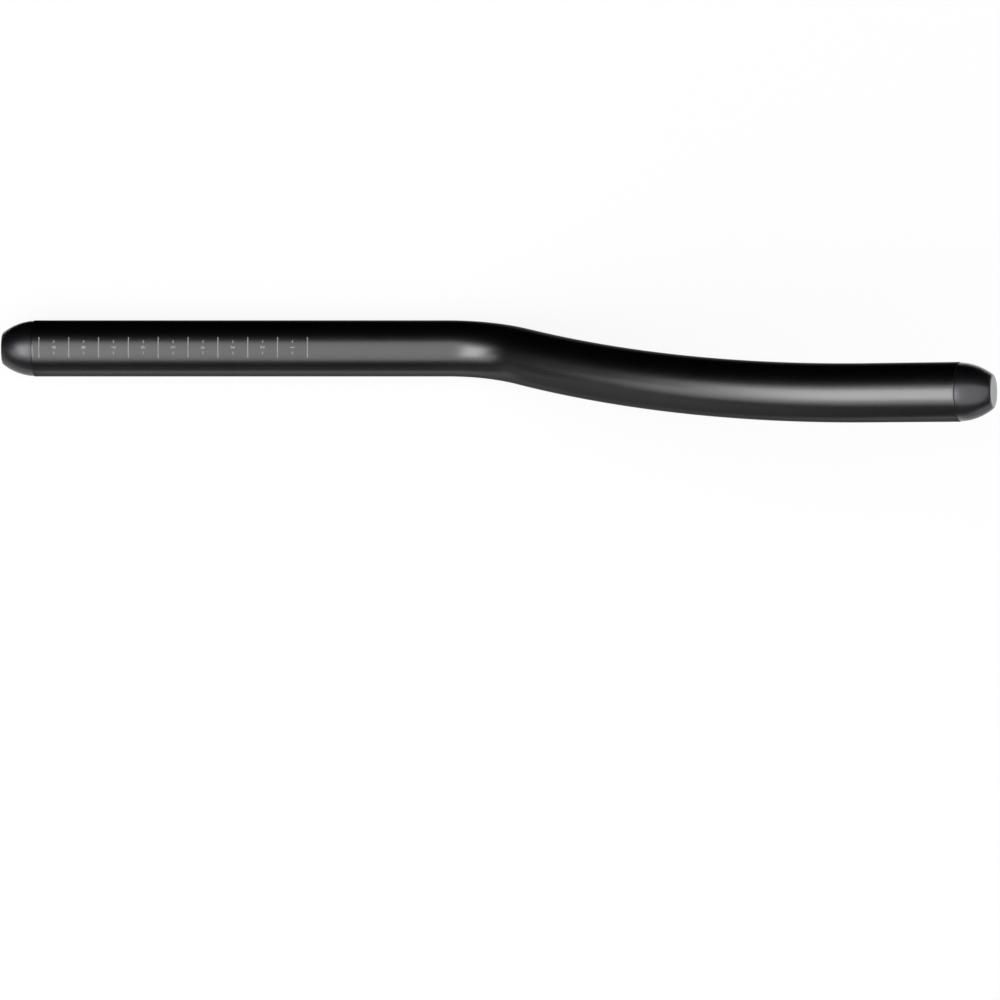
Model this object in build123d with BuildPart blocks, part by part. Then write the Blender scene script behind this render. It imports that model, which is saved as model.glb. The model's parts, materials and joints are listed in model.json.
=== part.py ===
from build123d import *

import os
from math import cos, radians, sin, tan

# Aero handlebar extension: a tube bent twice, with a moulded plug pushed into each end.
# Lengths are millimetres and angles are degrees.
# The origin is the middle of the straight clamping run, on its axis.
# +X points forward along that run, +Y outboard and +Z up.

# Tube section
tube_diameter = 22.2
tube_wall = 2.0
tube_end_chamfer = 0.2

# Centreline, from the rear end forward
clamp_length = 163.3
kick_radius = 47.0
kick_rise = 36.0
kick_inboard = 15.5
between_bends = 1.0
sweep_radius = 400.0
grip_rise = 20.0
grip_length = 35.7

# Plug head, the part that shows
head_length = 12.6
head_inset = 0.15
crown_radius = 21.0
nose_radius = 6.1
nose_round = 1.3
rim_round = 0.2

# Plug spigot, the part inside the tube
plug_wall = 2.2
spigot_clearance = 0.5
spigot_lead = 2.0
spigot_tail = 1.0
rib_count = 4
rib_land = 0.8
rib_slope = 1.6
rib_gap = 1.6
rib_clearance = 0.05

# Sizes that follow
tube_radius = tube_diameter / 2
bore_radius = tube_radius - tube_wall
head_radius = tube_radius - head_inset
spigot_radius = bore_radius - spigot_clearance
rib_radius = bore_radius - rib_clearance
rib_pitch = rib_land + rib_slope + rib_gap
spigot_length = spigot_lead + rib_count * rib_pitch + spigot_tail
core_radius = spigot_radius - plug_wall
core_nose_radius = nose_radius - plug_wall
core_end = head_length - plug_wall


def heading(rise, inboard=0):
    """The unit direction that climbs by rise and turns inboard from straight ahead."""
    level = cos(radians(rise))
    return Vector(level * cos(radians(inboard)), -level * sin(radians(inboard)), sin(radians(rise)))


def setback(radius, before, after):
    """How far a bend of this radius starts before the corner where two directions meet."""
    return radius * tan(radians(before.get_angle(after)) / 2)


# The centreline's directions and corners
outboard = Vector(0, 1, 0)
clamp_way = heading(rise=0)
kick_way = heading(kick_rise, kick_inboard)
grip_way = heading(grip_rise)
kick_setback = setback(kick_radius, clamp_way, kick_way)
sweep_setback = setback(sweep_radius, kick_way, grip_way)
rear_end = clamp_way * (-clamp_length / 2)
kick_corner = rear_end + clamp_way * (clamp_length + kick_setback)
sweep_corner = kick_corner + kick_way * (kick_setback + between_bends + sweep_setback)
front_end = sweep_corner + grip_way * (sweep_setback + grip_length)

# The tube's end faces, with normals that point out of the tube
rear_seat = Plane(rear_end, x_dir=outboard, z_dir=-clamp_way)
front_seat = Plane(front_end, x_dir=outboard, z_dir=grip_way)

# Bent tube
with BuildPart() as extension_tube:
    with BuildLine():
        FilletPolyline(rear_end, kick_corner, sweep_corner, front_end, radius=[kick_radius, sweep_radius])
    with BuildSketch(rear_seat):
        Circle(tube_radius)
        Circle(bore_radius, mode=Mode.SUBTRACT)
    sweep()
    end_faces = extension_tube.faces().filter_by(GeomType.PLANE)
    chamfer(end_faces.edges(), tube_end_chamfer)


def rib_outline():
    """Corners of the spigot's side, from its tail to its lead: each rib slopes up and ends square."""
    corners = []
    for rib in reversed(range(rib_count)):
        square_end = -spigot_lead - rib * rib_pitch
        corners.append((spigot_radius, square_end - rib_land - rib_slope))
        corners.append((rib_radius, square_end - rib_land))
        corners.append((rib_radius, square_end))
        corners.append((spigot_radius, square_end))
    return corners


def end_plug(seat):
    """One plug on the plane of a tube end: a section of radius and height, turned about the tube's axis."""
    rim = (head_radius, 0)
    nose = (nose_radius, head_length)
    core_mouth = (core_radius, -spigot_length)
    with BuildPart() as plug:
        with BuildSketch(Plane(seat.origin, x_dir=seat.x_dir, z_dir=-seat.y_dir)) as section:
            with BuildLine():
                RadiusArc(rim, nose, -crown_radius)
                Polyline(nose, (0, head_length), (0, core_end))
                Polyline((0, core_end), (core_nose_radius, core_end), (core_radius, 0), core_mouth)
                Polyline(core_mouth, (spigot_radius, -spigot_length), *rib_outline(), (spigot_radius, 0), rim)
            make_face()
            fillet(section.vertices().group_by(Axis.Y)[-1].sort_by(Axis.X)[-1], nose_round)
            fillet(section.vertices().sort_by(Axis.X)[-1], rim_round)
        revolve(axis=Axis(seat.origin, seat.z_dir))
    return plug.part


rear_plug = end_plug(rear_seat)
front_plug = end_plug(front_seat)

# One file for each piece
os.makedirs("parts", exist_ok=True)
extension_tube.part.label = "extension_tube"
export_step(extension_tube.part, "parts/extension_tube.step")
rear_plug.label = "rear_plug"
export_step(rear_plug, "parts/rear_plug.step")
front_plug.label = "front_plug"
export_step(front_plug, "parts/front_plug.step")
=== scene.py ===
import json
from math import cos, pi, radians, sin

import bmesh
import bpy
from mathutils import Matrix, Vector


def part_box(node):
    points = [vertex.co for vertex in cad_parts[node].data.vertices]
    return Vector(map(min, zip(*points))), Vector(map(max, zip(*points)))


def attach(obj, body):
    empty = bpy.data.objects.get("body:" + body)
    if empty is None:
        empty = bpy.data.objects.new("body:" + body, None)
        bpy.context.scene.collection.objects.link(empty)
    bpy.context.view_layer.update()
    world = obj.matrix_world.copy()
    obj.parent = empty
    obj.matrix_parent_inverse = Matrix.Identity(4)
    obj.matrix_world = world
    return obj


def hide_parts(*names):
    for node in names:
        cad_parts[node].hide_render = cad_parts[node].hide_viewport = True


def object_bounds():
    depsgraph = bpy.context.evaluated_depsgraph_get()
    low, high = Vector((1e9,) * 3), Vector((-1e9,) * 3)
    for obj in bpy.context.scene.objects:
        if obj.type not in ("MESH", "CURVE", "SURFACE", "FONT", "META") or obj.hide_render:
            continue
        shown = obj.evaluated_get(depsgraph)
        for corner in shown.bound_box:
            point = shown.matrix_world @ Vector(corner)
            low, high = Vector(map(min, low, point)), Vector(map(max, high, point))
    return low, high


bl_info = {
    "name": "Aero Handlebar Extension",
    "version": (1, 0, 0),
    "blender": (4, 5, 0),
    "location": "View3D > Sidebar > Aero Bar",
    "description": "Dresses a bent aero handlebar extension: tube, end plugs, printed scale and stage",
    "category": "Object",
}

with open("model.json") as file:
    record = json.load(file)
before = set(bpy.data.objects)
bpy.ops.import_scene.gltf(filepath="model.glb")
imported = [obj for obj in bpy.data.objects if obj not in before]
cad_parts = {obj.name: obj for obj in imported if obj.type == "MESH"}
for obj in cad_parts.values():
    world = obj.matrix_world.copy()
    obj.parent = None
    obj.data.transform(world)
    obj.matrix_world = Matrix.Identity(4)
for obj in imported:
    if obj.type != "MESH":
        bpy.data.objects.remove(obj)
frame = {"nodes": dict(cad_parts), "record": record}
cad_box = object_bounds()

# The script works in metres, and small sizes are written as millimetres
MM = 0.001
AHEAD = Vector((1, 0, 0))
UP = Vector((0, 0, 1))
BLACK = (0, 0, 0, 1)
WHITE = (1, 1, 1, 1)

# The frame's own measures: the clamping run, the grip run, the tube's rear end and the floor's height
mounts = {mount["name"]: mount for mount in frame["record"]["mounts"]}
clamp_run = mounts["clamp_run"]
grip_run = mounts["grip_run"]
rear_end_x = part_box("extension_tube")[0].x
floor_z = cad_box[0].z

# How many faces run along each stretch of the tube, round its end rims and along a printed line
CLAMP_STEPS = 20
KICK_STEPS = 36
SWEEP_STEPS = 48
GRIP_STEPS = 5
RIM_STEPS = 3
LINE_STEPS = 12

# Edges sharper than the first are the tube's rims, and those sharper than the second stay crisp
RIM_ANGLE = radians(60)
CRISP_ANGLE = radians(40)

# Points of the print that are this close become one, and a cut takes in points that are this close
MERGE_GAP = 0.0005 * MM
CUT_GAP = 0.0001 * MM

# A numeral's height as a share of its font's size, and the grid size that gives a unit square
NUMERAL_SHARE = 0.7
UNIT_SQUARE = 0.5


class TubeSizes(bpy.types.PropertyGroup):
    """Sizes of the bent tube, from its rear end forward."""

    radius: bpy.props.FloatProperty(
        name="Radius", description="Outside radius of the tube",
        default=clamp_run["dims"]["r_mm"] * MM, unit="LENGTH", precision=4)
    wall: bpy.props.FloatProperty(
        name="Wall", description="Thickness of the tube's wall",
        default=2.0 * MM, unit="LENGTH", precision=4)
    rim: bpy.props.FloatProperty(
        name="End rim", description="Rounding of the tube's end edges",
        default=0.2 * MM, unit="LENGTH", precision=5)
    clamp_length: bpy.props.FloatProperty(
        name="Clamping run", description="Length of the straight rear run",
        default=-2 * rear_end_x, unit="LENGTH", precision=4)
    kick_radius: bpy.props.FloatProperty(
        name="Kick radius", description="Centreline radius of the first bend",
        default=47.0 * MM, unit="LENGTH", precision=4)
    kick_rise: bpy.props.FloatProperty(
        name="Kick rise", description="How steeply the tube climbs after the first bend",
        default=radians(36.0), subtype="ANGLE")
    kick_inboard: bpy.props.FloatProperty(
        name="Kick inboard", description="How far the tube turns inboard at the first bend",
        default=radians(15.5), subtype="ANGLE")
    between_bends: bpy.props.FloatProperty(
        name="Between bends", description="Straight length between the two bends",
        default=1.0 * MM, unit="LENGTH", precision=4)
    sweep_radius: bpy.props.FloatProperty(
        name="Sweep radius", description="Centreline radius of the long second bend",
        default=400.0 * MM, unit="LENGTH", precision=4)
    grip_length: bpy.props.FloatProperty(
        name="Grip run", description="Length of the straight front run",
        default=35.7 * MM, unit="LENGTH", precision=4)
    end_ring: bpy.props.FloatProperty(
        name="End ring", description="Length of the narrow ring of faces at each end",
        default=1.0 * MM, unit="LENGTH", precision=5)
    segments: bpy.props.IntProperty(
        name="Segments", description="Faces around the tube", default=144, min=24)


class ScaleSizes(bpy.types.PropertyGroup):
    """Sizes of the printed length scale on top of the clamping run."""

    first_line: bpy.props.FloatProperty(
        name="First line", description="Distance of the rearmost line from the tube's rear end",
        default=3.05 * MM, unit="LENGTH", precision=5)
    pitch: bpy.props.FloatProperty(
        name="Pitch", description="Distance between lines",
        default=11.70 * MM, unit="LENGTH", precision=5)
    line_count: bpy.props.IntProperty(
        name="Lines", description="Number of lines across the tube", default=10, min=2)
    line_width: bpy.props.FloatProperty(
        name="Line width", description="Width of a printed line",
        default=0.4 * MM, unit="LENGTH", precision=5)
    line_reach: bpy.props.FloatProperty(
        name="Line reach", description="How far a line runs down each side of the tube",
        default=radians(21.3), subtype="ANGLE")
    tick_width: bpy.props.FloatProperty(
        name="Tick width", description="Width of the short ticks beside a numeral",
        default=0.4 * MM, unit="LENGTH", precision=5)
    tick_angle: bpy.props.FloatProperty(
        name="Tick angle", description="Angle of a tick's middle from the top of the tube",
        default=radians(11.5), subtype="ANGLE")
    tick_reach: bpy.props.FloatProperty(
        name="Tick reach", description="Half of the angle that a tick covers",
        default=radians(2.8), subtype="ANGLE")
    numeral_height: bpy.props.FloatProperty(
        name="Numeral height", description="Height of a printed numeral",
        default=1.55 * MM, unit="LENGTH", precision=5)
    numeral_weight: bpy.props.FloatProperty(
        name="Numeral weight", description="How far a numeral's outline is thickened",
        default=0.11 * MM, unit="LENGTH", precision=5)
    numeral_steps: bpy.props.IntProperty(
        name="Numeral steps", description="Straight pieces to each curve of a numeral", default=2, min=1)
    strips: bpy.props.IntProperty(
        name="Strips", description="Strips that half a numeral is cut into, so that it bends round the tube",
        default=8, min=1)
    ink: bpy.props.FloatProperty(
        name="Ink thickness", description="How far the print stands out of the tube, and how far it bites in",
        default=0.012 * MM, unit="LENGTH", precision=6)


class Finishes(bpy.types.PropertyGroup):
    """Colours of the three finishes."""

    tube_colour: bpy.props.FloatVectorProperty(
        name="Tube", description="Black satin of the blasted tube",
        default=(0.096, 0.096, 0.096), subtype="COLOR", min=0, max=1)
    tube_edge_tint: bpy.props.FloatVectorProperty(
        name="Tube edge tint", description="How much of the grazing sheen the satin keeps",
        default=(0.33, 0.33, 0.33, 1.0), subtype="COLOR", size=4, min=0, max=1)
    plug_colour: bpy.props.FloatVectorProperty(
        name="Plugs", description="Black of the moulded plugs",
        default=(0.0012, 0.0012, 0.0015), subtype="COLOR", min=0, max=1)
    plug_sheen: bpy.props.FloatVectorProperty(
        name="Plug sheen", description="Faint violet cast of the plugs' sheen",
        default=(0.87, 0.84, 1.0, 1.0), subtype="COLOR", size=4, min=0, max=1)
    print_colour: bpy.props.FloatVectorProperty(
        name="Print", description="Pale grey of the printed scale",
        default=(0.27, 0.27, 0.27), subtype="COLOR", min=0, max=1)


class StageSizes(bpy.types.PropertyGroup):
    """Camera, floor, lights and the glowing cards that paint reflections into the satin."""

    camera_place: bpy.props.FloatVectorProperty(
        name="Camera", description="Where the camera hangs, looking straight down",
        default=(0.10224, -0.05988, 1.4726), subtype="TRANSLATION", unit="LENGTH")
    lens: bpy.props.FloatProperty(
        name="Lens", description="Focal length of the camera, in millimetres",
        default=134.19, unit="CAMERA")
    floor_reach: bpy.props.FloatProperty(
        name="Floor", description="Half the width of the floor", default=8.0, unit="LENGTH")
    floor_colour: bpy.props.FloatVectorProperty(
        name="Floor colour", description="Pale colour of the floor",
        default=(0.9, 0.9, 0.9), subtype="COLOR", min=0, max=1)
    floor_glow: bpy.props.FloatProperty(
        name="Floor glow", description="Share of the floor's white that shadows don't dim",
        default=0.88, subtype="FACTOR", min=0, max=1)
    panel_place: bpy.props.FloatVectorProperty(
        name="Panel place", description="Where the wide overhead panel hangs, from the middle of the bar",
        default=(-0.4, -1.3, 3.0), subtype="TRANSLATION", unit="LENGTH")
    panel_size: bpy.props.FloatVectorProperty(
        name="Panel size", description="Length and width of the overhead panel",
        default=(6.8, 5.5), size=2, subtype="XYZ", unit="LENGTH")
    panel_power: bpy.props.FloatProperty(
        name="Panel power", description="Power of the overhead panel", default=181.0, unit="POWER")
    rear_panel_place: bpy.props.FloatVectorProperty(
        name="Rear panel place", description="Where the rear panel hangs, from the middle of the bar",
        default=(-5.0, -2.5, 3.0), subtype="TRANSLATION", unit="LENGTH")
    rear_panel_size: bpy.props.FloatVectorProperty(
        name="Rear panel size", description="Length and width of the rear panel",
        default=(2.4, 3.6), size=2, subtype="XYZ", unit="LENGTH")
    rear_panel_power: bpy.props.FloatProperty(
        name="Rear panel power", description="Power of the rear panel", default=42.0, unit="POWER")
    key_place: bpy.props.FloatVectorProperty(
        name="Key place", description="Where the smaller key light hangs, from the middle of the bar",
        default=(-1.98, -0.75, 2.9), subtype="TRANSLATION", unit="LENGTH")
    key_size: bpy.props.FloatVectorProperty(
        name="Key size", description="Length and width of the key light",
        default=(1.9, 2.6), size=2, subtype="XYZ", unit="LENGTH")
    key_power: bpy.props.FloatProperty(
        name="Key power", description="Power of the key light", default=56.5, unit="POWER")
    # Black cards: dark sheets that only reflections show, painting a dark reflection along the outboard side
    card_foot: bpy.props.FloatVectorProperty(
        name="Card foot", description="Where the two black cards meet, outboard of the first bend",
        default=(0.09, 0.0205), size=2, subtype="XYZ", unit="LENGTH")
    card_end: bpy.props.FloatVectorProperty(
        name="Card end", description="Where the foot of the front black card ends",
        default=(0.52, 0.14), size=2, subtype="XYZ", unit="LENGTH")
    card_rear: bpy.props.FloatVectorProperty(
        name="Card rear", description="Where the foot of the rear black card ends",
        default=(-1.41, -0.015), size=2, subtype="XYZ", unit="LENGTH")
    card_reach: bpy.props.FloatVectorProperty(
        name="Card reach", description="How far a black card leans outboard and how high it rises",
        default=(0.9, 1.0), size=2, subtype="XYZ", unit="LENGTH")
    card_lift: bpy.props.FloatProperty(
        name="Card lift", description="How far the cards stand clear of the floor",
        default=1.0 * MM, unit="LENGTH", precision=4)
    # Dark and grey strips: glowing sheets that only reflections show, painting dim reflections along the
    # inboard side of the clamping run
    strip_end: bpy.props.FloatVectorProperty(
        name="Strip end", description="Where the low dark strip ends, inboard of the first bend",
        default=(0.09, -0.065), size=2, subtype="XYZ", unit="LENGTH")
    strip_height: bpy.props.FloatProperty(
        name="Strip height", description="Height of the dark strip",
        default=0.016, unit="LENGTH", precision=4)
    strip_shade: bpy.props.FloatProperty(
        name="Strip shade", description="Brightness of the dark strip",
        default=0.10, subtype="FACTOR", min=0, max=1)
    back_strip_gap: bpy.props.FloatProperty(
        name="Back strip gap", description="How far inboard of the dark strip the grey strip stands",
        default=0.035, unit="LENGTH", precision=4)
    back_strip_height: bpy.props.FloatProperty(
        name="Back strip height", description="Height of the grey strip",
        default=0.024, unit="LENGTH", precision=4)
    back_strip_shade: bpy.props.FloatProperty(
        name="Back strip shade", description="Brightness of the grey strip",
        default=0.36, subtype="FACTOR", min=0, max=1)
    # Sweep card: a glowing sheet that only reflections show, painting a reflection that fades along the
    # sweep's inboard side
    sweep_card_foot: bpy.props.FloatVectorProperty(
        name="Sweep card foot", description="Where the card inboard of the sweep starts, at its lower edge",
        default=(0.086, -0.036, -0.006), subtype="XYZ", unit="LENGTH")
    sweep_card_end: bpy.props.FloatVectorProperty(
        name="Sweep card end", description="Where the card inboard of the sweep ends, at its lower edge",
        default=(0.30, -0.095, 0.088), subtype="XYZ", unit="LENGTH")
    sweep_card_height: bpy.props.FloatProperty(
        name="Sweep card height", description="Height of the card inboard of the sweep",
        default=0.052, unit="LENGTH", precision=4)
    sweep_card_fade: bpy.props.FloatVectorProperty(
        name="Sweep card fade", description="Where along the bar that card starts and stops darkening",
        default=(0.15, 0.25), size=2, subtype="XYZ", unit="LENGTH")
    sweep_card_shades: bpy.props.FloatVectorProperty(
        name="Sweep card shades", description="Brightness of that card before and after it darkens",
        default=(0.36, 0.14), size=2, min=0, max=1)
    # Pale sheets: glowing sheets on the floor that only reflections show, painting a dimmer floor into the
    # plugs' inboard rims
    front_sheet_start: bpy.props.FloatVectorProperty(
        name="Front sheet start", description="Rear inboard corner of the pale card by the front plug",
        default=(0.291, -0.40), size=2, subtype="XYZ", unit="LENGTH")
    front_sheet_end: bpy.props.FloatVectorProperty(
        name="Front sheet end", description="Front outboard corner of the pale card by the front plug",
        default=(0.60, -0.045), size=2, subtype="XYZ", unit="LENGTH")
    rear_sheet_start: bpy.props.FloatVectorProperty(
        name="Rear sheet start", description="Rear inboard corner of the pale card by the rear plug",
        default=(-0.15, -0.05), size=2, subtype="XYZ", unit="LENGTH")
    rear_sheet_end: bpy.props.FloatVectorProperty(
        name="Rear sheet end", description="Front outboard corner of the pale card by the rear plug",
        default=(-0.0835, -0.008), size=2, subtype="XYZ", unit="LENGTH")
    sheet_shade: bpy.props.FloatProperty(
        name="Sheet shade", description="Brightness of the two pale cards on the floor",
        default=0.55, subtype="FACTOR", min=0, max=1)
    room_shade: bpy.props.FloatProperty(
        name="Room", description="Brightness of the plain room round the stage",
        default=0.05, subtype="FACTOR", min=0, max=1)


class AeroBarSettings(bpy.types.PropertyGroup):
    """Everything that a user may change."""

    tube: bpy.props.PointerProperty(
        name="Tube", description="Sizes of the bent tube", type=TubeSizes)
    scale: bpy.props.PointerProperty(
        name="Scale", description="Sizes of the printed length scale", type=ScaleSizes)
    finish: bpy.props.PointerProperty(
        name="Finishes", description="Colours of the tube, the plugs and the print", type=Finishes)
    stage: bpy.props.PointerProperty(
        name="Stage", description="Camera, floor, lights and cards", type=StageSizes)


# Mesh helpers

def only(kind, geometry):
    """The verts, edges or faces among an operator's results."""
    return [item for item in geometry if isinstance(item, kind)]


def each_once(items):
    """The items without repeats, in the order that they come."""
    return list(dict.fromkeys(items))


def add_object(name, bm, material):
    """Turns a bmesh into an object at the origin."""
    mesh = bpy.data.meshes.new(name)
    bm.to_mesh(mesh)
    bm.free()
    mesh.materials.append(material)
    item = bpy.data.objects.new(name, mesh)
    bpy.context.scene.collection.objects.link(item)
    return item


def add_piece(name, bm, material):
    """A piece of the bar, shaded smooth between its crisp edges."""
    piece = add_object(name, bm, material)
    piece.data.shade_smooth()
    piece.data.set_sharp_from_angle(angle=CRISP_ANGLE)
    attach(piece, "root")
    return piece


# Finishes

def add_node(tree, kind, place, **settings):
    """A node of this kind, with its settings and the values of its unlinked inputs."""
    node = tree.nodes.new(kind)
    node.location = place
    for name, value in settings.pop("inputs", {}).items():
        node.inputs[name].default_value = value
    for name, value in settings.items():
        setattr(node, name, value)
    return node


def new_material(name):
    """An empty material with a Principled shader on its output."""
    material = bpy.data.materials.new(name)
    material.use_nodes = True
    tree = material.node_tree
    tree.nodes.clear()
    shader = add_node(tree, "ShaderNodeBsdfPrincipled", (300, 0))
    output = add_node(tree, "ShaderNodeOutputMaterial", (600, 0))
    tree.links.new(shader.outputs["BSDF"], output.inputs["Surface"])
    return material, tree, shader


def satin_grain_group():
    """Fine grain of blasted and moulded surfaces: a bump height, an uneven roughness and colour."""
    name = "satin_grain"
    if name in bpy.data.node_groups:
        return bpy.data.node_groups[name]
    group = bpy.data.node_groups.new(name, "ShaderNodeTree")
    sockets = group.interface
    sockets.new_socket("Vector", in_out="INPUT", socket_type="NodeSocketVector")
    for label in ("Grain Scale", "Mottle Scale", "Roughness", "Roughness Spread", "Shade Spread"):
        sockets.new_socket(label, in_out="INPUT", socket_type="NodeSocketFloat")
    sockets.new_socket("Colour", in_out="INPUT", socket_type="NodeSocketColor")
    sockets.new_socket("Colour", in_out="OUTPUT", socket_type="NodeSocketColor")
    sockets.new_socket("Roughness", in_out="OUTPUT", socket_type="NodeSocketFloat")
    sockets.new_socket("Height", in_out="OUTPUT", socket_type="NodeSocketFloat")
    entry = add_node(group, "NodeGroupInput", (-800, 0))
    leave = add_node(group, "NodeGroupOutput", (600, 0))
    grain = add_node(group, "ShaderNodeTexNoise", (-500, 200), inputs={"Detail": 2.0, "Roughness": 0.6})
    mottle = add_node(group, "ShaderNodeTexNoise", (-500, -100), inputs={"Detail": 3.0, "Roughness": 0.55})
    # Each noise is about a half on average, so their sum less one is centred on nought, and shade on one
    both = add_node(group, "ShaderNodeMath", (-250, 0), operation="ADD")
    centred = add_node(group, "ShaderNodeMath", (-80, 0), operation="SUBTRACT", inputs={1: 1.0})
    rougher = add_node(group, "ShaderNodeMath", (120, -50), operation="MULTIPLY_ADD")
    shade = add_node(group, "ShaderNodeMath", (120, -250), operation="MULTIPLY_ADD", inputs={2: 1.0})
    tinted = add_node(group, "ShaderNodeVectorMath", (350, -200), operation="SCALE")
    link = group.links.new
    link(entry.outputs["Vector"], grain.inputs["Vector"])
    link(entry.outputs["Vector"], mottle.inputs["Vector"])
    link(entry.outputs["Grain Scale"], grain.inputs["Scale"])
    link(entry.outputs["Mottle Scale"], mottle.inputs["Scale"])
    link(grain.outputs["Fac"], both.inputs[0])
    link(mottle.outputs["Fac"], both.inputs[1])
    link(both.outputs[0], centred.inputs[0])
    link(centred.outputs[0], rougher.inputs[0])
    link(entry.outputs["Roughness Spread"], rougher.inputs[1])
    link(entry.outputs["Roughness"], rougher.inputs[2])
    link(centred.outputs[0], shade.inputs[0])
    link(entry.outputs["Shade Spread"], shade.inputs[1])
    link(entry.outputs["Colour"], tinted.inputs[0])
    link(shade.outputs[0], tinted.inputs["Scale"])
    link(tinted.outputs[0], leave.inputs["Colour"])
    link(rougher.outputs[0], leave.inputs["Roughness"])
    link(grain.outputs["Fac"], leave.inputs["Height"])
    return group


def satin_material(name, colour, grain_size, mottle_size, roughness, spread, shade, bump):
    """A satin finish with fine grain. Sizes are in metres, and bump is the grain's depth."""
    material, tree, shader = new_material(name)
    place = add_node(tree, "ShaderNodeTexCoord", (-900, 0))
    grain = add_node(tree, "ShaderNodeGroup", (-600, 0), node_tree=satin_grain_group())
    grain.inputs["Colour"].default_value = (*colour, 1.0)
    grain.inputs["Grain Scale"].default_value = 1 / grain_size
    grain.inputs["Mottle Scale"].default_value = 1 / mottle_size
    grain.inputs["Roughness"].default_value = roughness
    grain.inputs["Roughness Spread"].default_value = spread
    grain.inputs["Shade Spread"].default_value = shade
    relief = add_node(tree, "ShaderNodeBump", (-100, -250), inputs={"Strength": 1.0, "Distance": bump})
    link = tree.links.new
    link(place.outputs["Object"], grain.inputs["Vector"])
    link(grain.outputs["Colour"], shader.inputs["Base Color"])
    link(grain.outputs["Roughness"], shader.inputs["Roughness"])
    link(grain.outputs["Height"], relief.inputs["Height"])
    link(relief.outputs["Normal"], shader.inputs["Normal"])
    return material, shader


def blasted_black(finish):
    """Black satin of the tube: blasted metal with a fine even grain."""
    material, shader = satin_material(
        "blasted_black", finish.tube_colour, grain_size=0.22 * MM, mottle_size=9 * MM,
        roughness=0.29, spread=0.05, shade=0.10, bump=0.004 * MM)
    shader.inputs["Metallic"].default_value = 1.0
    shader.inputs["Specular Tint"].default_value = finish.tube_edge_tint
    return material


def moulded_black(finish):
    """Black plastic of the plugs, with the soft sparkle of a mould's eroded wall."""
    material, shader = satin_material(
        "moulded_black", finish.plug_colour, grain_size=0.3 * MM, mottle_size=6 * MM,
        roughness=0.38, spread=0.07, shade=0.16, bump=0.008 * MM)
    shader.inputs["IOR"].default_value = 1.5
    shader.inputs["Specular Tint"].default_value = finish.plug_sheen
    shader.inputs["Coat Weight"].default_value = 1.0
    shader.inputs["Coat Roughness"].default_value = 0.27
    shader.inputs["Coat IOR"].default_value = 1.5
    return material


def pale_print(finish):
    """Pale grey ink, a little uneven where it lies on the grain."""
    material, _ = satin_material(
        "pale_print", finish.print_colour, grain_size=0.15 * MM, mottle_size=2 * MM,
        roughness=0.6, spread=0.1, shade=0.25, bump=0.004 * MM)
    return material


# Bent tube

def heading(rise, inboard):
    """The unit direction that climbs by rise and turns inboard from straight ahead."""
    return Vector((cos(rise) * cos(inboard), -cos(rise) * sin(inboard), sin(rise)))


def run_on(bm, edges, way, length, steps=1):
    """Extrudes an open ring straight on by equal steps, and gives the ring at its end."""
    for _ in range(steps):
        grown = bmesh.ops.extrude_edge_only(bm, edges=edges)["geom"]
        bmesh.ops.translate(bm, verts=only(bmesh.types.BMVert, grown), vec=way * length / steps)
        edges = [edge for edge in only(bmesh.types.BMEdge, grown) if edge.is_boundary]
    return edges


def bend_on(bm, edges, place, way, new_way, radius, steps):
    """Spins an open ring round a bend to a new direction, and gives the ring and place at its end."""
    angle = way.angle(new_way)
    axis = way.cross(new_way).normalized()
    centre = place + axis.cross(way) * radius
    ring = edges + each_once(vert for edge in edges for vert in edge.verts)
    grown = bmesh.ops.spin(
        bm, geom=ring, cent=centre, axis=axis, angle=angle, steps=steps, use_duplicate=False)
    end = centre + Matrix.Rotation(angle, 3, axis) @ (place - centre)
    return only(bmesh.types.BMEdge, grown["geom_last"]), end


class AEROBAR_OT_tube(bpy.types.Operator):
    """Sweep the tube's wall along its straight runs and its two bends"""

    bl_idname = "aero_bar.tube"
    bl_label = "Bent Tube"

    def execute(self, context):
        settings = context.scene.aero_bar
        sizes = settings.tube
        kick_way = heading(sizes.kick_rise, sizes.kick_inboard)
        grip_way = Vector(grip_run["axis"]).normalized()
        place = AHEAD * rear_end_x
        bm = bmesh.new()
        facing = Matrix.Translation(place) @ AHEAD.to_track_quat("Z", "Y").to_matrix().to_4x4()
        bmesh.ops.create_circle(bm, radius=sizes.radius, segments=sizes.segments, matrix=facing)

        edges = run_on(bm, bm.edges[:], AHEAD, sizes.end_ring)
        edges = run_on(bm, edges, AHEAD, sizes.clamp_length - sizes.end_ring, CLAMP_STEPS)
        place = place + AHEAD * sizes.clamp_length
        edges, place = bend_on(bm, edges, place, AHEAD, kick_way, sizes.kick_radius, KICK_STEPS)
        edges = run_on(bm, edges, kick_way, sizes.between_bends)
        place = place + kick_way * sizes.between_bends
        edges, place = bend_on(bm, edges, place, kick_way, grip_way, sizes.sweep_radius, SWEEP_STEPS)
        edges = run_on(bm, edges, grip_way, sizes.grip_length - sizes.end_ring, GRIP_STEPS)
        run_on(bm, edges, grip_way, sizes.end_ring)

        bmesh.ops.recalc_face_normals(bm, faces=bm.faces)
        bmesh.ops.solidify(bm, geom=bm.faces[:], thickness=sizes.wall)
        rims = [edge for edge in bm.edges if edge.calc_face_angle() > RIM_ANGLE]
        bmesh.ops.bevel(
            bm, geom=rims, offset=sizes.rim, offset_type="OFFSET", affect="EDGES",
            segments=RIM_STEPS, profile=0.5, material=-1)
        piece = add_piece("bent_tube", bm, blasted_black(settings.finish))
        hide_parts("extension_tube")
        return {"FINISHED"}


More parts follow.
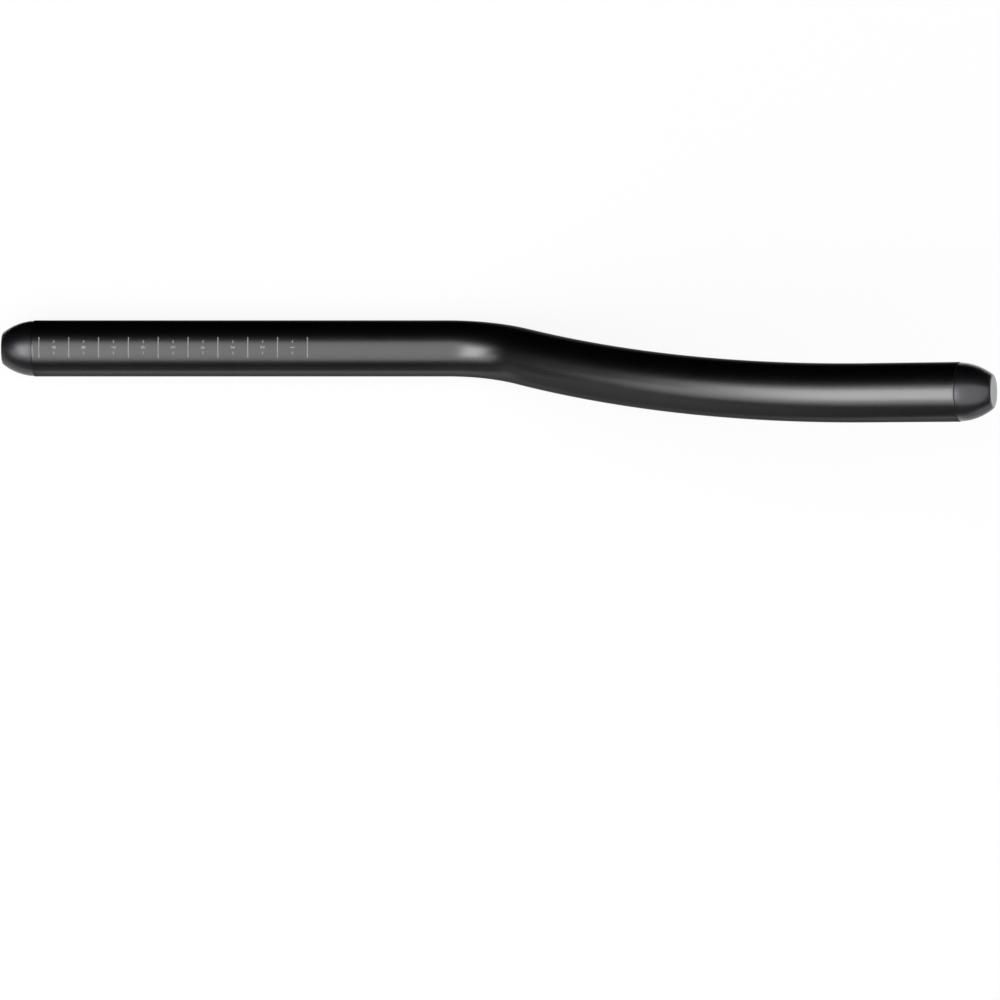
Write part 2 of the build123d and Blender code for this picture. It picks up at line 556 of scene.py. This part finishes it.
class AEROBAR_OT_plugs(bpy.types.Operator):
    """Finish the two end plugs, which keep their own solids"""

    bl_idname = "aero_bar.plugs"
    bl_label = "End Plugs"

    def execute(self, context):
        material = moulded_black(context.scene.aero_bar.finish)
        for node in ("rear_plug", "front_plug"):
            for slot in frame["nodes"][node].material_slots:
                slot.material = material
        return {"FINISHED"}


# Printed scale

def add_arc(bm, x, width, middle, reach, radius, ink):
    """A thin band round the tube's axis: a small upright section spun through twice its reach."""
    section = bmesh.ops.create_grid(bm, x_segments=1, y_segments=1, size=UNIT_SQUARE)["verts"]
    lie = Matrix.Diagonal((width, 1, 2 * ink, 1)) @ Matrix.Rotation(pi / 2, 4, "X")
    turn = Matrix.Rotation(-(middle - reach), 4, "X")
    bmesh.ops.transform(bm, matrix=turn @ Matrix.Translation((x, 0, radius)) @ lie, verts=section)
    edges = each_once(edge for vert in section for edge in vert.link_edges)
    faces = each_once(face for vert in section for face in vert.link_faces)
    bmesh.ops.spin(
        bm, geom=section + edges + faces, cent=(x, 0, 0), axis=AHEAD, angle=-2 * reach,
        steps=LINE_STEPS, use_duplicate=False)


class AEROBAR_OT_scale(bpy.types.Operator):
    """Print the length scale on top of the clamping run: lines, ticks and numerals"""

    bl_idname = "aero_bar.scale"
    bl_label = "Printed Scale"

    def execute(self, context):
        settings = context.scene.aero_bar
        sizes = settings.scale
        radius = settings.tube.radius
        material = pale_print(settings.finish)
        lines = [rear_end_x + sizes.first_line + index * sizes.pitch for index in range(sizes.line_count)]
        middles = [(left + right) / 2 for left, right in zip(lines, lines[1:])]

        bm = bmesh.new()
        for x in lines:
            add_arc(bm, x, sizes.line_width, 0, sizes.line_reach, radius, sizes.ink)
        self.finish_print("scale_lines", bm, material)

        bm = bmesh.new()
        for x in middles:
            for side in (-1, 1):
                add_arc(bm, x, sizes.tick_width, side * sizes.tick_angle, sizes.tick_reach, radius, sizes.ink)
        self.finish_print("scale_ticks", bm, material)

        bm = bmesh.new()
        for number, x in enumerate(reversed(middles), start=1):
            self.add_numeral(bm, str(number), x, radius, sizes)
        self.finish_print("scale_numerals", bm, material)
        return {"FINISHED"}

    def add_numeral(self, bm, text, x, radius, sizes):
        """One numeral, its top pointing ahead, wrapped round the tube."""
        curve = bpy.data.curves.new("numeral", "FONT")
        curve.body = text
        curve.align_x = "CENTER"
        curve.size = sizes.numeral_height / NUMERAL_SHARE
        curve.resolution_u = sizes.numeral_steps
        curve.offset = sizes.numeral_weight
        curve.extrude = sizes.ink
        flat = bpy.data.objects.new("numeral", curve)
        bpy.context.scene.collection.objects.link(flat)
        mesh = bpy.data.meshes.new_from_object(flat.evaluated_get(bpy.context.evaluated_depsgraph_get()))
        bpy.data.objects.remove(flat)
        strips = bmesh.new()
        strips.from_mesh(mesh)
        bmesh.ops.remove_doubles(strips, verts=strips.verts, dist=MERGE_GAP)
        for cut in range(-sizes.strips, sizes.strips + 1):
            whole = strips.verts[:] + strips.edges[:] + strips.faces[:]
            side = AHEAD * cut * sizes.numeral_height / (2 * sizes.strips)
            bmesh.ops.bisect_plane(strips, geom=whole, dist=CUT_GAP, plane_co=side, plane_no=AHEAD)
        for vert in strips.verts:
            right, height, lift = vert.co
            angle = -right / radius
            reach = radius + lift
            vert.co = (x + height - sizes.numeral_height / 2, reach * sin(angle), reach * cos(angle))
        strips.to_mesh(mesh)
        strips.free()
        bm.from_mesh(mesh)
        bpy.data.meshes.remove(mesh)

    def finish_print(self, name, bm, material):
        """Closes the print's skins and puts it on the bar."""
        bmesh.ops.remove_doubles(bm, verts=bm.verts, dist=MERGE_GAP)
        bmesh.ops.recalc_face_normals(bm, faces=bm.faces)
        piece = add_piece(name, bm, material)


# Stage

def floor_material(colour, glow):
    """Pale floor that takes shadows. To the eye and in reflections, part of its white is its own."""
    material, tree, shader = new_material("pale_floor")
    shader.inputs["Base Color"].default_value = (*colour, 1.0)
    shader.inputs["Roughness"].default_value = 0.9
    shader.inputs["Specular IOR Level"].default_value = 0.0
    light = add_node(tree, "ShaderNodeLightPath", (-300, 300))
    white = add_node(tree, "ShaderNodeEmission", (300, 200))
    both = add_node(tree, "ShaderNodeMixShader", (480, 100))
    seen = add_node(tree, "ShaderNodeMath", (-100, 300), operation="MAXIMUM")
    seen_through = add_node(tree, "ShaderNodeMath", (50, 300), operation="MAXIMUM")
    share = add_node(tree, "ShaderNodeMath", (200, 350), operation="MULTIPLY", inputs={1: glow})
    link = tree.links.new
    link(light.outputs["Is Camera Ray"], seen.inputs[0])
    link(light.outputs["Is Glossy Ray"], seen.inputs[1])
    link(seen.outputs[0], seen_through.inputs[0])
    link(light.outputs["Is Transmission Ray"], seen_through.inputs[1])
    link(seen_through.outputs[0], share.inputs[0])
    link(share.outputs[0], both.inputs["Fac"])
    link(shader.outputs["BSDF"], both.inputs[1])
    link(white.outputs["Emission"], both.inputs[2])
    link(both.outputs["Shader"], tree.nodes["Material Output"].inputs["Surface"])
    return material


def card_material(name, shade):
    """A card without gloss that glows at one even shade in any light, to paint that shade into reflections.
    """
    material, _, shader = new_material(name)
    shader.inputs["Base Color"].default_value = BLACK
    shader.inputs["Specular IOR Level"].default_value = 0.0
    shader.inputs["Emission Color"].default_value = WHITE
    shader.inputs["Emission Strength"].default_value = shade
    return material


def fading_card_material(name, fade, shades):
    """A card whose painted glow darkens from one shade to another between two places along the bar, painting
    a reflection that fades.
    """
    material = card_material(name, shades[0])
    tree = material.node_tree
    place = add_node(tree, "ShaderNodeTexCoord", (-600, 0))
    apart = add_node(tree, "ShaderNodeSeparateXYZ", (-400, 0))
    darken = add_node(tree, "ShaderNodeMapRange", (-200, 0), inputs={
        "From Min": fade[0], "From Max": fade[1], "To Min": shades[0], "To Max": shades[1]})
    link = tree.links.new
    link(place.outputs["Object"], apart.inputs["Vector"])
    link(apart.outputs["X"], darken.inputs["Value"])
    link(darken.outputs["Result"], tree.nodes["Principled BSDF"].inputs["Emission Strength"])
    return material


def add_stage_sheet(name, lie, material):
    """One flat sheet of the stage: a unit square laid by a matrix."""
    bm = bmesh.new()
    bmesh.ops.create_grid(bm, x_segments=1, y_segments=1, size=UNIT_SQUARE, matrix=lie)
    sheet = add_object(name, bm, material)
    return sheet


def add_card(name, start, end, reach, material):
    """A card that reaches outboard and up from the line between two points. Only reflections show it: it
    casts no shadow and lights nothing, so its shade is a painted reflection.
    """
    slope = Vector((0, *reach))
    along = Matrix((end - start, slope, UP)).transposed().to_4x4()
    card = add_stage_sheet(name, Matrix.Translation((start + end + slope) / 2) @ along, material)
    card.visible_camera = False
    card.visible_diffuse = False
    card.visible_shadow = False


def add_softbox(name, place, size, power):
    """A flat soft light that faces straight down and stays out of the picture."""
    lamp = bpy.data.lights.new(name, "AREA")
    lamp.shape = "RECTANGLE"
    lamp.size, lamp.size_y = size
    lamp.energy = power
    softbox = bpy.data.objects.new(name, lamp)
    softbox.location = place
    softbox.visible_camera = False
    bpy.context.scene.collection.objects.link(softbox)


class AEROBAR_OT_stage(bpy.types.Operator):
    """Set the camera straight above, lay the floor, stand the cards that paint reflections and hang the soft
    lights
    """

    bl_idname = "aero_bar.stage"
    bl_label = "Stage"

    def execute(self, context):
        scene = context.scene
        stage = scene.aero_bar.stage
        scene.view_settings.view_transform = "Standard"

        lens = bpy.data.cameras.new("plan_camera")
        lens.lens = stage.lens
        camera = bpy.data.objects.new("plan_camera", lens)
        camera.location = stage.camera_place
        scene.collection.objects.link(camera)
        scene.camera = camera

        width = 2 * stage.floor_reach
        lie = Matrix.Translation(UP * floor_z) @ Matrix.Diagonal((width, width, 1, 1))
        add_stage_sheet("floor", lie, floor_material(stage.floor_colour, stage.floor_glow))

        self.stand_cards(stage)
        self.hang_lights(stage)

        shade = stage.room_shade
        world = bpy.data.worlds.new("room")
        world.use_nodes = True
        world.node_tree.nodes["Background"].inputs["Color"].default_value = (shade, shade, shade, 1)
        scene.world = world
        return {"FINISHED"}

    def stand_cards(self, stage):
        """Cards that paint reflections into the satin: black ones outboard, grey ones inboard and pale ones
        by the plugs, each glowing at its own shade.
        """
        card_z = floor_z + stage.card_lift
        meet = Vector((*stage.card_foot, card_z))
        front = Vector((*stage.card_end, card_z))
        rear = Vector((*stage.card_rear, card_z))
        # Black cards paint a dark reflection along the outboard side
        black = card_material("painted_black_reflection", 0)
        add_card("rear_black_reflection", rear, meet, stage.card_reach, black)
        add_card("front_black_reflection", meet, front, stage.card_reach, black)

        # Dark and grey strips paint dim reflections along the inboard side of the clamping run
        near = Vector((*stage.strip_end, card_z))
        far = Vector((rear.x, near.y, card_z))
        back = Vector((0, -stage.back_strip_gap, 0))
        dark = card_material("painted_dark_reflection", stage.strip_shade)
        grey = card_material("painted_grey_reflection", stage.back_strip_shade)
        add_card("dark_reflection_strip", far, near, (0, stage.strip_height), dark)
        add_card("grey_reflection_strip", far + back, near + back, (0, stage.back_strip_height), grey)

        # A glowing card paints a reflection that fades along the sweep's inboard side
        fading = fading_card_material("painted_fading_reflection", stage.sweep_card_fade, stage.sweep_card_shades)
        sweep_foot = Vector(stage.sweep_card_foot)
        sweep_end = Vector(stage.sweep_card_end)
        add_card("sweep_reflection_card", sweep_foot, sweep_end, (0, stage.sweep_card_height), fading)

        # Pale sheets paint a dimmer floor into the reflections at the plugs' inboard rims
        pale = card_material("painted_pale_reflection", stage.sheet_shade)
        sheets = (
            ("front_pale_reflection", stage.front_sheet_start, stage.front_sheet_end),
            ("rear_pale_reflection", stage.rear_sheet_start, stage.rear_sheet_end))
        for name, start, end in sheets:
            left = Vector((*start, card_z))
            right = Vector((end[0], start[1], card_z))
            add_card(name, left, right, (end[1] - start[1], 0), pale)

    def hang_lights(self, stage):
        """Three soft lights, placed from the middle of the bar."""
        middle = (cad_box[0] + cad_box[1]) / 2
        lights = (
            ("overhead_panel", stage.panel_place, stage.panel_size, stage.panel_power),
            ("rear_panel", stage.rear_panel_place, stage.rear_panel_size, stage.rear_panel_power),
            ("key_softbox", stage.key_place, stage.key_size, stage.key_power))
        for name, place, size, power in lights:
            add_softbox(name, middle + Vector(place), size, power)


class AEROBAR_PT_pieces(bpy.types.Panel):
    """Lists the pieces and their settings"""

    bl_idname = "AEROBAR_PT_pieces"
    bl_label = "Aero Handlebar Extension"
    bl_space_type = "VIEW_3D"
    bl_region_type = "UI"
    bl_category = "Aero Bar"

    def draw(self, context):
        settings = context.scene.aero_bar
        groups = (
            (AEROBAR_OT_tube, settings.tube), (AEROBAR_OT_plugs, settings.finish),
            (AEROBAR_OT_scale, settings.scale), (AEROBAR_OT_stage, settings.stage))
        for operator, group in groups:
            box = self.layout.box()
            box.operator(operator.bl_idname)
            for name in group.bl_rna.properties.keys():
                if name not in ("rna_type", "name"):
                    box.prop(group, name)


classes = (
    TubeSizes, ScaleSizes, Finishes, StageSizes, AeroBarSettings,
    AEROBAR_OT_tube, AEROBAR_OT_plugs, AEROBAR_OT_scale, AEROBAR_OT_stage, AEROBAR_PT_pieces,
)


def register():
    for cls in classes:
        bpy.utils.register_class(cls)
    bpy.types.Scene.aero_bar = bpy.props.PointerProperty(
        name="Aero bar", description="Settings of the aero handlebar extension", type=AeroBarSettings)


def unregister():
    del bpy.types.Scene.aero_bar
    for cls in reversed(classes):
        bpy.utils.unregister_class(cls)


def main():
    register()
    bpy.ops.aero_bar.tube()
    bpy.ops.aero_bar.plugs()
    bpy.ops.aero_bar.scale()
    bpy.ops.aero_bar.stage()


if __name__ == "__main__":
    main()
